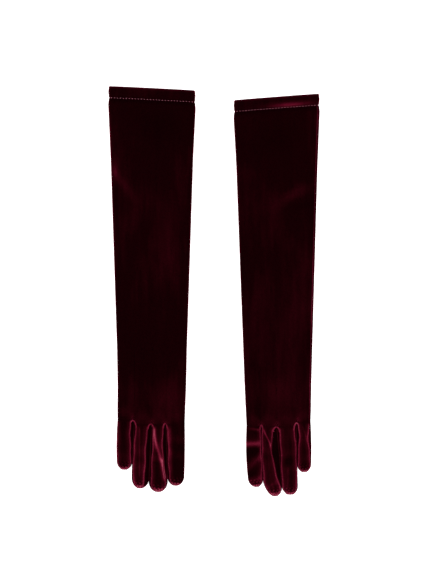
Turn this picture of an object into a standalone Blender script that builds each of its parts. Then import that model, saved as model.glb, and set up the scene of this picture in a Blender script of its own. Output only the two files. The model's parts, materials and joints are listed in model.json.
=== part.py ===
"""A pair of stretch velvet opera gloves lying flat, backs up and fingers towards -Y.

Metres, +Z up, the table is z = 0. Each glove is a sheet wrapped round the arm and closed by
one long seam on the little-finger side, with fourchettes (gussets) between the fingers, a
turned hem at the cuff, and a thumb stall folded flat under the palm.

A glove is drawn in its own plan: u runs across it (index side positive), v runs from the
finger crotches (0) up to the cuff. side = +1 for the right glove, -1 for the left one.
"""

import math

import bmesh
import bpy

MM = 0.001

# ---- the fabric and its seams, mm
CLOTH = 1.1  # velvet, pile included
SEAM_SLIT = 1.1  # between two edges that are sewn together
SEAM_THICK = 0.5  # the overlocked allowance that lies in that slit
SEAM_DEEP = 3.0  # how far the allowance reaches into the glove
FOLD_GAP = 0.8  # between two lengths of the sleeve at a fold
SQUARENESS = 3.0  # exponent of the flattened oval cross-section
FLATTER = 1.03  # the oval's top and bottom are cut off flat by drawing it this much too tall

# ---- the sleeve, mm: places up the glove, lay-flat half widths and heights there
CUFF = 430.0
ELBOW = 340.0
WRIST = 95.0
PALM_HALF = 42.5
HALF_WIDTHS = ((0, PALM_HALF), (31, 43.0), (82, 44.4), (159, 46.7), (236, 49.1), (287, 50.8),
               (338, 52.8), (364, 54.3), (404, 56.2), (430, 55.8))
HEIGHTS = ((0, 8.6), (60, 9.0), (200, 9.4), (364, 10.2), (404, 12.2), (430, 13.0))
HEM_DEPTH = 15.0
FACING_THICK = 0.9  # the turned-in edge, held flatter than the sleeve
CLEARANCE = 0.3  # between the turned-in edge or the thread and the cloth it lies on
GROOVE_DEEP = 0.9  # the stitch line pulls the cloth in by this much
GROOVE_WIDE = 1.5
GROOVE_SIDE = 0.6  # the groove's sides slope over this length
THREAD = (0.8, 0.5)  # width and thickness of the line of thread
SLANT_FROM, SLANT_OVER = 352.0, 50.0  # the cuff's slant grows in over this length

# ---- the thumb stall, mm: folded under the palm, so the palm is raised over it
THUMB_PIVOT = (25.0, 68.0)
THUMB_BASE, THUMB_TIP = (26.0, 75.0), (21.0, 14.0)
THUMB_HALF = (11.0, 10.2)
THUMB_HEIGHT = 3.4
THUMB_CLOTH = 0.8  # pressed thinner under the palm
THUMB_ROUND = 11.0  # length of the rounded tip
THUMB_HOLE = (9.0, 11.0)  # half sizes of the oval hole in the palm
LIFT = 4.0
LIFT_ACROSS = (-8.0, 8.0)  # no lift, full lift
LIFT_ALONG = (2.0, 12.0, 83.0, 93.5)

# ---- the fingers, mm
FINGER_HEIGHT = 8.6
FOURCHETTE = (2.5, 1.0)  # half height at the root and at the end
FOURCHETTE_END = 12.0  # short of the fingertip by this much
CROTCH = -22.5  # where the little finger's lower root begins, across the hand
LITTLE_ROOT = 6.0
ROOT_GAP = 0.1  # between the crotch line and the finger
TIP_ROUND = 1.15  # length of a rounded tip, in half widths
TIP_DROP = 0.45  # how much lower the very tip is, as a share of the height
FINGER_SEAM_DEEP, THUMB_SEAM_DEEP = 2.4, 2.2  # as SEAM_DEEP, in the narrower tubes
FINGER_SEAM_END, THUMB_SEAM_END = 9.0, 8.0  # short of the tip by this much

# shares of the half width at which the wrapped sheet has its columns of points, from the
# index side to the outer side; two of them stand just either side of the little finger's root
SHARES = (1.0, 0.96, 0.84, 0.68, 0.5, 0.34, 0.0, -0.3, (CROTCH + 0.45) / PALM_HALF,
          (CROTCH - 0.4) / PALM_HALF, -0.84, -0.97)

# name: centre at the root and at the tip, half width at the root and near the tip, tip
# "long" is how far the sleeve is pulled out: the left one lies a little slack
GLOVES = {
    "right": {
        "side": 1, "place": (-79.3, -170.4), "drift": 0.0, "slant": 3.4, "wide": 1.0,
        "long": 1.0,
        "fingers": {
            "index": (30.1, 30.9, 12.0, 9.8, -79.0),
            "middle": (8.7, 7.9, 8.75, 12.5, -87.0),
            "ring": (-11.5, -15.9, 10.9, 10.8, -82.4),
            "little": (-33.5, -35.3, 10.6, 9.0, -58.5),
        },
    },
    "left": {
        "side": -1, "place": (82.2, -172.9), "drift": 2.0, "slant": 5.4, "wide": 0.985,
        "long": 0.98,
        "fingers": {
            "index": (31.6, 29.2, 9.0, 9.2, -78.0),
            "middle": (12.1, 6.9, 9.9, 12.2, -90.0),
            "ring": (-10.6, -15.1, 12.2, 9.2, -88.0),
            "little": (-32.6, -32.9, 9.1, 8.4, -59.0),
        },
    },
}

VELVET = (0.035, 0.002, 0.007)
VELVET_DARK = (0.016, 0.001, 0.003)
THREAD_PINK = (0.62, 0.42, 0.44)

# the body that a node moves with, by the first word after the glove's name
BODY_OF = {"upper": "upper", "hem": "upper", "forearm": "forearm", "hand": "hand",
           "index": "index", "middle": "middle", "ring": "ring", "little": "little",
           "thumb": "thumb"}
FOLD_ABOVE = 0.45  # a fold turns about a line this far above the cloth
PIVOTS = {}  # filled in by Glove.set_pivots: body name to a point on its joint's axis, mm


# ---------------------------------------------------------------- small helpers
def between(table, t):
    """Straight-line reading of a table of (place, value) pairs."""
    if t <= table[0][0]:
        return table[0][1]
    for (a, left), (b, right) in zip(table, table[1:]):
        if t <= b:
            return left + (right - left) * (t - a) / (b - a)
    return table[-1][1]


def ease(t, start, end):
    """0 before start, 1 after end, smooth between. end may lie below start."""
    t = min(1.0, max(0.0, (t - start) / (end - start)))
    return t * t * (3 - 2 * t)


def steps(start, end, count):
    return [start + (end - start) * i / count for i in range(count + 1)]


def power(value, exponent):
    return math.copysign(abs(value) ** exponent, value)


def edge_angle(offset, half_height):
    """Angle round the oval at which it stands this far above its middle."""
    return math.asin(min(1.0, offset / half_height) ** (SQUARENESS / 2))


def nearly_round(edge, count):
    """Angles from one side of a slit round to the other. They are paired left and right, so
    that a tip that narrows to a line closes on itself."""
    upper = [0.0] + steps(edge, math.pi - edge, count)
    return [-a for a in reversed(upper[1:])] + upper


def oval(angle, half_width, half_height):
    """A point of the flattened oval: across, and up from its middle. Its underside is flat."""
    across = half_width * power(math.cos(angle), 2 / SQUARENESS)
    up = power(math.sin(angle), 2 / SQUARENESS)
    return across, half_height * max(-1.0, min(1.0, FLATTER * up))


# ---------------------------------------------------------------- meshes
def material(name, colour, sheen):
    mat = bpy.data.materials.new(name)
    mat.use_nodes = True
    shader = mat.node_tree.nodes["Principled BSDF"]
    shader.inputs["Base Color"].default_value = (*colour, 1)
    shader.inputs["Roughness"].default_value = 0.9
    shader.inputs["Sheen Weight"].default_value = sheen
    mat.diffuse_color = (*colour, 1)
    return mat


def add_object(name, points, faces, colour=VELVET, sheen=0.6):
    """One closed body from points in mm. Its origin is on its joint's axis, as PIVOTS says."""
    mesh = bpy.data.meshes.new(name)
    body = bmesh.new()
    part = name.split("_", 1)[0] + "_" + BODY_OF[name.split("_")[1]]
    pivot = PIVOTS.get(part, (0.0, 0.0, 0.0))
    corners = [body.verts.new([(c - o) * MM for c, o in zip(p, pivot)]) for p in points]
    for face in faces:
        body.faces.new([corners[i] for i in face])
    bmesh.ops.recalc_face_normals(body, faces=body.faces)
    if body.calc_volume(signed=True) < 0:
        bmesh.ops.reverse_faces(body, faces=body.faces)
    body.to_mesh(mesh)
    body.free()
    mesh.shade_smooth()
    mesh.set_sharp_from_angle(angle=math.radians(50))
    obj = bpy.data.objects.new(name, mesh)
    obj.location = [o * MM for o in pivot]
    bpy.context.scene.collection.objects.link(obj)
    obj.data.materials.append(material(name, colour, sheen))


def sheet(name, outer, inner, hole=None, colour=VELVET, sheen=0.6):
    """A sheet of cloth between two grids of points of the same shape, closed round its edges.

    Points of the outer grid that coincide, as where a fingertip closes, are sewn into one.
    hole(row, column) leaves that cell of the grid out.
    """
    first, numbers, points = {}, [], []
    for row_out, row_in in zip(outer, inner):
        numbers.append([])
        for out, within in zip(row_out, row_in):
            key = tuple(round(c, 4) for c in out)
            if key not in first:
                first[key] = len(points) // 2
                points += [out, within]
            numbers[-1].append(first[key])
    faces, edges = [], {}
    for i in range(len(numbers) - 1):
        for j in range(len(numbers[0]) - 1):
            if hole and hole(i, j):
                continue
            cell = [numbers[i][j], numbers[i][j + 1], numbers[i + 1][j + 1], numbers[i + 1][j]]
            cell = [n for k, n in enumerate(cell) if n != cell[k - 1]]
            if len(cell) < 3:
                continue
            faces.append([2 * n for n in cell])
            faces.append([2 * n + 1 for n in reversed(cell)])
            for a, b in zip(cell, cell[1:] + cell[:1]):
                edges[(a, b)] = (b, a)
    for (a, b), back in edges.items():
        if back not in edges:
            faces.append([2 * b, 2 * a, 2 * a + 1, 2 * b + 1])
    used = sorted({n for face in faces for n in face})
    renumber = {n: i for i, n in enumerate(used)}
    points = [points[n] for n in used]
    faces = [[renumber[n] for n in face] for face in faces]
    add_object(name, points, faces, colour, sheen)


def bar(name, rings, colour, sheen=0.3, closed=False):
    """A bar through rings of four corners, with end caps, or closed on itself."""
    points = [p for ring in rings for p in ring]
    faces = []
    count = len(rings)
    for i in range(count if closed else count - 1):
        a, b = 4 * i, 4 * ((i + 1) % count)
        faces += [[a + k, a + (k + 1) % 4, b + (k + 1) % 4, b + k] for k in range(4)]
    if not closed:
        faces += [[3, 2, 1, 0], [4 * count - 4 + k for k in range(4)]]
    add_object(name, points, faces, colour, sheen)


# ---------------------------------------------------------------- one glove
class Glove:
    def __init__(self, name, side, place, drift, slant, wide, long, fingers):
        self.name, self.side, self.place, self.long = name, side, place, long
        self.drift, self.slant, self.wide = drift, math.tan(math.radians(slant)), wide
        self.fingers = fingers

    def at(self, u, v, z):
        """From the glove's own plan to the shared frame, mm."""
        v += -self.slant * u * ease(v, SLANT_FROM, SLANT_FROM + SLANT_OVER)
        x = self.place[0] + self.side * (u + self.drift * v / CUFF)
        return (x, self.place[1] + (v * self.long if v > 0 else v), z)

    def lift(self, u, v):
        low, full, high, none = LIFT_ALONG
        along = ease(v, low, full) * ease(v, none, high)
        return LIFT * ease(u, *LIFT_ACROSS) * along

    # -- the sleeve and the hand: a sheet wrapped round, with a slit on the outer side
    def half_width(self, v):
        return between(HALF_WIDTHS, v) * self.wide

    def groove(self, v):
        away = abs(v - (CUFF - HEM_DEPTH))
        return GROOVE_DEEP * (1 - ease(away, GROOVE_WIDE / 2, GROOVE_WIDE / 2 + GROOVE_SIDE))

    def wrap_point(self, v, angle, inset, end=None):
        """A point of the wrapped sheet. end(share of the half width) moves the last row."""
        half = between(HEIGHTS, v) / 2
        inset += self.groove(v)
        across, up = oval(angle, self.half_width(v) - inset, half - inset)
        v = end(across / (self.half_width(v) - inset)) if end else v
        return self.at(across, v, half + up + self.lift(across, v))

    def wrap_angles(self, v, inset, slit=SEAM_SLIT):
        half = between(HEIGHTS, v) / 2 - inset - self.groove(v)
        edge = edge_angle(slit / 2, half)
        upper = [math.acos(power(share, SQUARENESS / 2)) for share in SHARES]
        upper.append(math.pi - edge)
        return [-a for a in reversed(upper[1:])] + upper

    def wrap(self, name, rows, inset=0.0, thick=CLOTH, end=None, hole=None):
        grids = ([], [])
        for i, v in enumerate(rows):
            tail = end if end and i == 0 else None
            for grid, deep in zip(grids, (inset, inset + thick)):
                # The slit keeps its width right through the sheet.
                angles = self.wrap_angles(v, deep)
                grid.append([self.wrap_point(v, a, deep, tail) for a in angles])
        if hole:
            skipped = self.shape_hole(grids, *hole)
            sheet(name, *grids, hole=lambda i, j: (i, j) in skipped)
        else:
            sheet(name, *grids)

    def shape_hole(self, grids, centre, half_sizes):
        """Leaves out the palm's cells inside an oval and pulls their edge onto it."""
        outer = grids[0]
        middle = self.at(*centre, 0)

        def away(p):
            across, along = p[0] - middle[0], p[1] - middle[1]
            return math.hypot(across / half_sizes[0], along / half_sizes[1])

        def is_palm(j):
            return j < len(outer[0]) // 2

        skipped = set()
        for i in range(len(outer) - 1):
            for j in range(len(outer[0]) - 1):
                corners = (outer[i][j], outer[i][j + 1], outer[i + 1][j], outer[i + 1][j + 1])
                if is_palm(j) and sum(away(p) for p in corners) / 4 < 1.0:
                    skipped.add((i, j))
        rim = {}
        for i, j in skipped:
            for corner in ((i, j), (i, j + 1), (i + 1, j), (i + 1, j + 1)):
                rim[corner] = rim.get(corner, 0) + 1
        for (i, j), cells in rim.items():
            if cells == 4:
                continue
            for grid in grids:
                x, y, z = grid[i][j]
                far = away((x, y, z))
                grid[i][j] = (middle[0] + (x - middle[0]) / far,
                              middle[1] + (y - middle[1]) / far, z)
        return skipped

    def allowance(self, v, out, deep, mid):
        """Four corners of the overlocked allowance at v, reaching in from the edge at out."""
        t = SEAM_THICK / 2
        return [self.at(u, v, mid + z)
                for u, z in ((out, -t), (out + deep, -t), (out + deep, t), (out, t))]

    def side_seam(self, name, low, high):
        """The overlocked allowance of the long outer seam, lying in the slit."""
        rings = [self.allowance(v, -self.half_width(v), SEAM_DEEP, between(HEIGHTS, v) / 2)
                 for v in steps(low, high, max(3, round((high - low) / 25)))]
        bar(name, rings, VELVET_DARK)

    # -- the fingers: flattened tubes that close to a rounded tip
    def root(self, finger):
        return LITTLE_ROOT if finger == "little" else 0.0

    def finger_section(self, finger, v):
        """Centre and half width of a finger at v."""
        centre, centre_tip, root_half, tip_half, tip = self.fingers[finger]
        root = self.root(finger)
        along = (root - v) / (root - tip)
        half = root_half + (tip_half - root_half) * along
        return centre + (centre_tip - centre) * along, half

    def finger_grids(self, finger, angles):
        """Two grids over the part of the oval that angles(v, half height) lists."""
        *_, tip_half, tip = self.fingers[finger]
        root = self.root(finger) + ROOT_GAP
        round_length = TIP_ROUND * tip_half
        straight = steps(root, tip + round_length, 3)
        rounded = [math.sin(t) for t in steps(0, math.pi / 2, 4)][1:]
        grids = []
        for inset in (0.0, CLOTH):
            grid = []
            for row, v in enumerate(straight + [None] * len(rounded)):
                if v is None:
                    s = rounded[row - len(straight)]
                    v = tip + round_length - (round_length - inset) * s
                    scale = math.sqrt(max(0.0, 1 - s * s))
                    low = 1 - TIP_DROP * s ** 4
                else:
                    scale, low = 1.0, 1.0
                centre, half = self.finger_section(finger, v)
                height = FINGER_HEIGHT / 2 * low - inset
                half = (half - inset) * scale
                points = []
                for angle in angles(v, height):
                    across, up = oval(angle, half, height)
                    points.append(self.at(centre + across, v, FINGER_HEIGHT / 2 * low + up))
                grid.append(points)
            grids.append(grid)
        return grids

    def gusset(self, finger, v):
        """Half height of the fourchette at v: 0 past its end."""
        tip, root = self.fingers[finger][4], self.root(finger)
        along = (root - v) / (root - tip - FOURCHETTE_END)
        fall = ease(v, tip + FOURCHETTE_END - 4, tip + FOURCHETTE_END)
        return (FOURCHETTE[0] + (FOURCHETTE[1] - FOURCHETTE[0]) * along) * fall

    def edge(self, finger, v, height, gusseted):
        offset = SEAM_SLIT / 2 + (self.gusset(finger, v) if gusseted else 0.0)
        return edge_angle(offset, height)

    def finger_panel(self, name, finger, up, inner, outer):
        """The back (up = 1) or palm (up = -1) panel. inner and outer say which sides have a
        fourchette: inner is the index side."""
        def angles(v, height):
            start = self.edge(finger, v, height, inner)
            stop = math.pi - self.edge(finger, v, height, outer)
            return [up * angle for angle in steps(start, stop, 6)]
        sheet(name, *self.finger_grids(finger, angles))

    def fourchette(self, name, finger, inner):
        """A narrow strip up the side of a finger, from its root to just short of the tip."""
        tip = self.fingers[finger][4]
        root = self.root(finger) + ROOT_GAP
        grids = ([], [])
        for v in steps(root, tip + FOURCHETTE_END + 1.0, 4):
            centre, half = self.finger_section(finger, v)
            for grid, inset in zip(grids, (0.0, CLOTH)):
                height = FINGER_HEIGHT / 2 - inset
                tall = self.gusset(finger, v) - SEAM_SLIT / 2
                edge = edge_angle(max(tall, 0.3), height)
                row = []
                for angle in steps(-edge, edge, 2):
                    across, up = oval(angle, half - inset, height)
                    across = across if inner else -across
                    row.append(self.at(centre + across, v, FINGER_HEIGHT / 2 + up))
                grid.append(row)
        sheet(name, *grids, colour=VELVET_DARK)

    def index_stall(self, name):
        """Back and palm in one piece, folded round the index side and open to the gusset."""
        def angles(v, height):
            return nearly_round(self.edge("index", v, height, True), 6)
        sheet(name, *self.finger_grids("index", angles))

    def finger_seam(self, name, finger):
        """The long outer seam where it runs down the little finger."""
        tip = self.fingers[finger][4]
        rings = []
        for v in steps(self.root(finger) + ROOT_GAP, tip + FINGER_SEAM_END, 3):
            centre, half = self.finger_section(finger, v)
            rings.append(self.allowance(v, centre - half, FINGER_SEAM_DEEP, FINGER_HEIGHT / 2))
        bar(name, rings, VELVET_DARK)

    # -- the thumb stall, pressed flat under the palm
    def thumb(self, name):
        """One piece folded round the outer side, its slit towards the middle of the palm."""
        base, tip = THUMB_BASE, THUMB_TIP
        length = math.dist(base, tip)
        along = ((tip[0] - base[0]) / length, (tip[1] - base[1]) / length)

        def place(s, a, z):
            """The point s along the stall, a across it and z above its middle."""
            return self.at(base[0] + along[0] * s - along[1] * a,
                           base[1] + along[1] * s + along[0] * a, THUMB_HEIGHT / 2 + z)

        def half_width(s):
            return THUMB_HALF[0] + (THUMB_HALF[1] - THUMB_HALF[0]) * s / length

        straight = length - THUMB_ROUND
        rounded = [math.sin(t) for t in steps(0, math.pi / 2, 4)][1:]
        grids = []
        for inset in (0.0, THUMB_CLOTH):
            height = THUMB_HEIGHT / 2 - inset
            angles = nearly_round(edge_angle(SEAM_SLIT / 2, height), 6)
            rows = [(s, 1.0) for s in steps(0, straight, 2)]
            rows += [(straight + (THUMB_ROUND - inset) * s, math.sqrt(max(0.0, 1 - s * s)))
                     for s in rounded]
            grids.append([[place(s, *oval(angle, (half_width(s) - inset) * scale, height))
                           for angle in angles] for s, scale in rows])
        sheet(name, *grids)
        t, deep = SEAM_THICK / 2, THUMB_SEAM_DEEP
        rings = [[place(s, a - half_width(s), z) for a, z in ((0, -t), (deep, -t), (deep, t), (0, t))]
                 for s in steps(SEAM_THICK, length - THUMB_SEAM_END, 2)]
        bar(self.name + "_thumb_seam", rings, VELVET_DARK)

    # -- the cuff
    def hem_stitching(self, name):
        """A ring of thread lying in the groove it pulls into the cloth."""
        v = CUFF - HEM_DEPTH
        wide, thick = THREAD
        inset = GROOVE_DEEP - CLEARANCE - thick
        half = between(HEIGHTS, v) / 2
        rings = []
        for angle in steps(0, 2 * math.pi, 40)[:-1]:
            ring = []
            for along, deep in ((-wide / 2, inset), (-wide / 2, inset + thick),
                                (wide / 2, inset + thick), (wide / 2, inset)):
                across, up = oval(angle, self.half_width(v) - deep, half - deep)
                ring.append(self.at(across, v + along, half + up))
            rings.append(ring)
        bar(name, rings, THREAD_PINK, closed=True)

    def set_pivots(self):
        """The folds turn about the top of the cloth, and the thumb about an upright line."""
        tops = {"upper": (0.0, ELBOW), "hand": (0.0, WRIST)}
        for finger, (centre, *_) in self.fingers.items():
            tops[finger] = (centre, self.root(finger) + ROOT_GAP + FOLD_GAP / 2)
        for body, (u, v) in tops.items():
            height = between(HEIGHTS, v) + FOLD_ABOVE
            PIVOTS[f"{self.name}_{body}"] = self.at(u, v, height)
        PIVOTS[f"{self.name}_thumb"] = self.at(*THUMB_PIVOT, THUMB_HEIGHT / 2)

    def build(self):
        self.set_pivots()
        hem = CUFF - HEM_DEPTH
        g, w = FOLD_GAP / 2, GROOVE_WIDE / 2
        rows = steps(ELBOW + g, hem - w - GROOVE_SIDE, 3)
        rows += [hem - w, hem + w, hem + w + GROOVE_SIDE]
        rows.append(CUFF)
        self.wrap(f"{self.name}_upper_sleeve", rows)
        self.side_seam(f"{self.name}_upper_seam", ELBOW + g, hem - 4.0)
        facing = [hem + w + 2 * GROOVE_SIDE, CUFF - 2 * CLEARANCE]
        self.wrap(f"{self.name}_hem_facing", facing, CLOTH + CLEARANCE, FACING_THICK)
        self.hem_stitching(f"{self.name}_hem_stitching")
        self.wrap(f"{self.name}_forearm_sleeve", steps(WRIST + g, ELBOW - g, 4))
        self.side_seam(f"{self.name}_forearm_seam", WRIST + g, ELBOW - g)

        def hand_end(share):
            """The hand reaches a little less far down above the little finger."""
            return (LITTLE_ROOT if share < CROTCH / PALM_HALF else 0.0) + ROOT_GAP + FOLD_GAP
        # close rows round the thumb's hole
        rows = [ROOT_GAP + FOLD_GAP, LITTLE_ROOT + 1.5, 12, 30, 54, 58, 62.5, 68, 73.5, 78, 83, 88]
        rows.append(WRIST - g)
        self.wrap(f"{self.name}_hand", rows, end=hand_end, hole=(THUMB_PIVOT, THUMB_HOLE))
        self.side_seam(f"{self.name}_hand_seam", LITTLE_ROOT + 1.2, WRIST - g)

        self.index_stall(f"{self.name}_index_stall")
        self.fourchette(f"{self.name}_index_fourchette", "index", inner=False)
        for finger in ("middle", "ring"):
            for way, up in (("back", 1), ("palm", -1)):
                self.finger_panel(f"{self.name}_{finger}_{way}", finger, up, True, True)
            self.fourchette(f"{self.name}_{finger}_inner_fourchette", finger, inner=True)
            self.fourchette(f"{self.name}_{finger}_outer_fourchette", finger, inner=False)
        for way, up in (("back", 1), ("palm", -1)):
            self.finger_panel(f"{self.name}_little_{way}", "little", up, True, False)
        self.fourchette(f"{self.name}_little_fourchette", "little", inner=True)
        self.finger_seam(f"{self.name}_little_seam", "little")
        self.thumb(f"{self.name}_thumb_stall")


for old in list(bpy.data.objects):
    bpy.data.objects.remove(old)

for glove_name, shape in GLOVES.items():
    Glove(glove_name, **shape).build()
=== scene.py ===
# %% [markdown]
# # A pair of velvet opera gloves
# Two long stretch-velvet gloves lie flat on a table, backs up. The CAD model gives every
# place and size. This lesson wraps it in cloth: fine meshes for the sleeves, hands and
# fingers, rolled seams and hem stitches by Geometry Nodes, and a procedural velvet.
# Sizes are in millimetres until a mesh is made.

# %% Load the frame
import json
import math

import bmesh
import bpy
import numpy as np
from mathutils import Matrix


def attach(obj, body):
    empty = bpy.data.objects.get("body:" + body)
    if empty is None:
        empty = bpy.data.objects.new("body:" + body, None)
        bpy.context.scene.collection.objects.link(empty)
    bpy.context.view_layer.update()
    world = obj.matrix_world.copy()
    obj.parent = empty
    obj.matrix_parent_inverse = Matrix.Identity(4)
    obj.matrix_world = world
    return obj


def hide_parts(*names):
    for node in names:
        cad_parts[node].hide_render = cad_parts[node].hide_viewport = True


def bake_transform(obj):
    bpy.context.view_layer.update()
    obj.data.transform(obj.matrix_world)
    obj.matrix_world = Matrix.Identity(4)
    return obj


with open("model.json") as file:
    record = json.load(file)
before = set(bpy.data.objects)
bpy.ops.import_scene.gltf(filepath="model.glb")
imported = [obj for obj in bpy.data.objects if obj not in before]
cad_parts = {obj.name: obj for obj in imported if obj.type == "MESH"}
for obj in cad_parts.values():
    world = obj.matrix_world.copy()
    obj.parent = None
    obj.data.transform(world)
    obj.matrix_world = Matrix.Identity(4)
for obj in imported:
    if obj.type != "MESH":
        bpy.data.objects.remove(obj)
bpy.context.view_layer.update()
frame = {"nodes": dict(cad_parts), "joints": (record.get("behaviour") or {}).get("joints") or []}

MM = 0.001
joints = {joint["name"]: joint for joint in frame["joints"]}

# %% [markdown]
# ## Camera, light and table
# The pair is seen from straight above with a long lens, so that nothing leans. A pale
# table and one broad overhead light give the flat, almost shadowless light of a catalogue
# picture. Two low strips along the sides graze the pile, which is what makes velvet glow
# along its edges. Rectangular lamps are used because their size alone sets how soft they
# are.

# %% Camera
VIEW_HEIGHT = 743.6
CAMERA_PLACE = (1.4, 1.4, 3000.0)
SENSOR = 24.0

camera_data = bpy.data.cameras.new("camera")
camera_data.sensor_fit = "VERTICAL"
camera_data.sensor_height = SENSOR
camera_data.lens = SENSOR * CAMERA_PLACE[2] / VIEW_HEIGHT
camera = bpy.data.objects.new("camera", camera_data)
camera.location = [c * MM for c in CAMERA_PLACE]
bpy.context.scene.collection.objects.link(camera)
bpy.context.scene.camera = camera
print("lens, mm:", round(camera_data.lens, 1))

# %% Lights
# name, place and size in metres, power in watts
LAMPS = (
    ("overhead", (0.0, 0.3, 2.2), (2.4, 2.4), 62.0),
    ("left_strip", (-1.5, 0.1, 0.55), (0.5, 1.6), 14.0),
    ("right_strip", (1.5, -0.1, 0.55), (0.5, 1.6), 14.0),
)
SURROUND = 0.55


def area_light(name, place, size, power):
    """A rectangular lamp at place that looks at the middle of the table."""
    data = bpy.data.lights.new(name, "AREA")
    data.shape = "RECTANGLE"
    data.size, data.size_y = size
    data.energy = power
    lamp = bpy.data.objects.new(name, data)
    lamp.location = place
    across = math.hypot(place[0], place[1])
    lamp.rotation_euler = (math.atan2(across, place[2]), 0.0, math.atan2(place[0], -place[1]))
    bpy.context.scene.collection.objects.link(lamp)


for lamp in LAMPS:
    area_light(*lamp)
world = bpy.data.worlds.new("studio")
world.use_nodes = True
background = world.node_tree.nodes["Background"]
background.inputs["Color"].default_value = (1.0, 1.0, 1.0, 1.0)
background.inputs["Strength"].default_value = SURROUND
bpy.context.scene.world = world
bpy.context.scene.view_settings.view_transform = "Standard"
print("lamps:", [lamp[0] for lamp in LAMPS])


# %% [markdown]
# ## Materials
# Velvet is a short upright pile. Seen along the fibres it is nearly black, and seen
# across them, at every fold, rim and seam, it lights up. Here that sheen, and the shade in
# the valleys, are painted into the colour. They could be painted as an image. Here they are
# a number that each mesh carries, an attribute of painted light and shade, which the shape
# code fills in where it makes the folds. The material turns that number into a colour.

# %% Node helpers
def new_material(name, roughness):
    mat = bpy.data.materials.new(name)
    mat.use_nodes = True
    shader = mat.node_tree.nodes["Principled BSDF"]
    shader.inputs["Roughness"].default_value = roughness
    return mat, mat.node_tree.nodes, mat.node_tree.links, shader


def noise(nodes, links, vector, scale, detail, stretch=(1.0, 1.0, 1.0)):
    """A noise texture on the piece's own coordinates, stretched along an axis if asked."""
    mapping = nodes.new("ShaderNodeMapping")
    mapping.inputs["Scale"].default_value = stretch
    links.new(vector, mapping.inputs["Vector"])
    texture = nodes.new("ShaderNodeTexNoise")
    texture.inputs["Scale"].default_value = scale
    texture.inputs["Detail"].default_value = detail
    links.new(mapping.outputs["Vector"], texture.inputs["Vector"])
    return texture.outputs["Fac"]


def ramp(nodes, links, factor, stops):
    """A colour ramp through (place, colour) stops."""
    node = nodes.new("ShaderNodeValToRGB")
    links.new(factor, node.inputs["Fac"])
    elements = node.color_ramp.elements
    for element, (place, colour) in zip(elements, stops):
        element.position, element.color = place, (*colour, 1.0)
    for place, colour in stops[2:]:
        elements.new(place).color = (*colour, 1.0)
    return node.outputs["Color"]


def times(nodes, links, first, second):
    """One colour multiplied by another."""
    node = nodes.new("ShaderNodeMix")
    node.data_type, node.blend_type = "RGBA", "MULTIPLY"
    node.inputs[0].default_value = 1.0
    links.new(first, node.inputs[6])
    links.new(second, node.inputs[7])
    return node.outputs[2]


def add_part(nodes, links, total, cause, strength):
    """total plus a noise that is centred on zero and scaled."""
    centred = nodes.new("ShaderNodeMath")
    centred.operation = "SUBTRACT"
    centred.inputs[1].default_value = 0.5
    links.new(cause, centred.inputs[0])
    add = nodes.new("ShaderNodeMath")
    add.operation = "MULTIPLY_ADD"
    add.inputs[1].default_value = strength
    links.new(centred.outputs[0], add.inputs[0])
    links.new(total, add.inputs[2])
    return add.outputs[0]


print("node helpers:", [f.__name__ for f in (new_material, noise, ramp, times, add_part)])

# %% [markdown]
# ### Velvet
# Three noises break up the painted light: broad patches of painted sheen, streaks of
# painted sheen that run along the glove, and a fine fibre speckle that also drives the bump.
# The colours climb steeply from almost black, painted shade, through the flat pile's own
# burgundy to a dusty pink, painted sheen. The shader's sheen adds the glow seen at low
# angles. There is no plain shine, because a pile reflects none.

# %% Velvet
# Places on the scale of painted light, from painted shade through the flat pile to the
# painted sheen of pile bent right over, and the colours there.
PAINTED_LIGHT_COLOURS = [
    (0.00, (0.0012, 0.00004, 0.00014)), (1.00, (0.2300, 0.0360, 0.0640)),
    (0.33, (0.0040, 0.00012, 0.00044)), (0.50, (0.0145, 0.00050, 0.00190)),
    (0.66, (0.0440, 0.00180, 0.00640)), (0.82, (0.1000, 0.00600, 0.01800)),
]
FIBRE_SHADES = [(0.30, (0.62, 0.62, 0.62)), (0.72, (1.45, 1.4, 1.4))]
PATCH_SCALE, STREAK_SCALE, FIBRE_SCALE = 14.0, 160.0, 1500.0
BUMP_STRENGTH, BUMP_DEPTH = 0.35, 0.0004
SHEEN_ROUGHNESS = 0.20


def velvet(name, sheen, tint, sheen_patchiness):
    """Pile with painted sheen and shade from the piece's own attribute, broken up by patches of
    painted sheen and by fibres.
    """
    mat, nodes, links, shader = new_material(name, 0.75)
    place = nodes.new("ShaderNodeTexCoord").outputs["Object"]
    light_value = nodes.new("ShaderNodeAttribute")
    light_value.attribute_name = "painted_light"
    sheen_patches = noise(nodes, links, place, PATCH_SCALE, 4.0, (1.0, 0.55, 1.0))
    sheen_streaks = noise(nodes, links, place, STREAK_SCALE, 3.0, (1.0, 0.12, 1.0))
    fibres = noise(nodes, links, place, FIBRE_SCALE, 2.0, (1.0, 0.35, 1.0))
    # The attribute and the patch and streak noises set the painted sheen and shade.
    total = add_part(nodes, links, light_value.outputs["Fac"], sheen_patches, sheen_patchiness)
    total = add_part(nodes, links, total, sheen_streaks, 0.5 * sheen_patchiness)
    colour = ramp(nodes, links, total, PAINTED_LIGHT_COLOURS)
    speckle = ramp(nodes, links, fibres, FIBRE_SHADES)
    links.new(times(nodes, links, colour, speckle), shader.inputs["Base Color"])
    bump = nodes.new("ShaderNodeBump")
    bump.inputs["Strength"].default_value = BUMP_STRENGTH
    bump.inputs["Distance"].default_value = BUMP_DEPTH
    links.new(fibres, bump.inputs["Height"])
    links.new(bump.outputs["Normal"], shader.inputs["Normal"])
    shader.inputs["Specular IOR Level"].default_value = 0.0
    shader.inputs["Sheen Weight"].default_value = sheen
    shader.inputs["Sheen Roughness"].default_value = SHEEN_ROUGHNESS
    shader.inputs["Sheen Tint"].default_value = (*tint, 1.0)
    return mat


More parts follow.
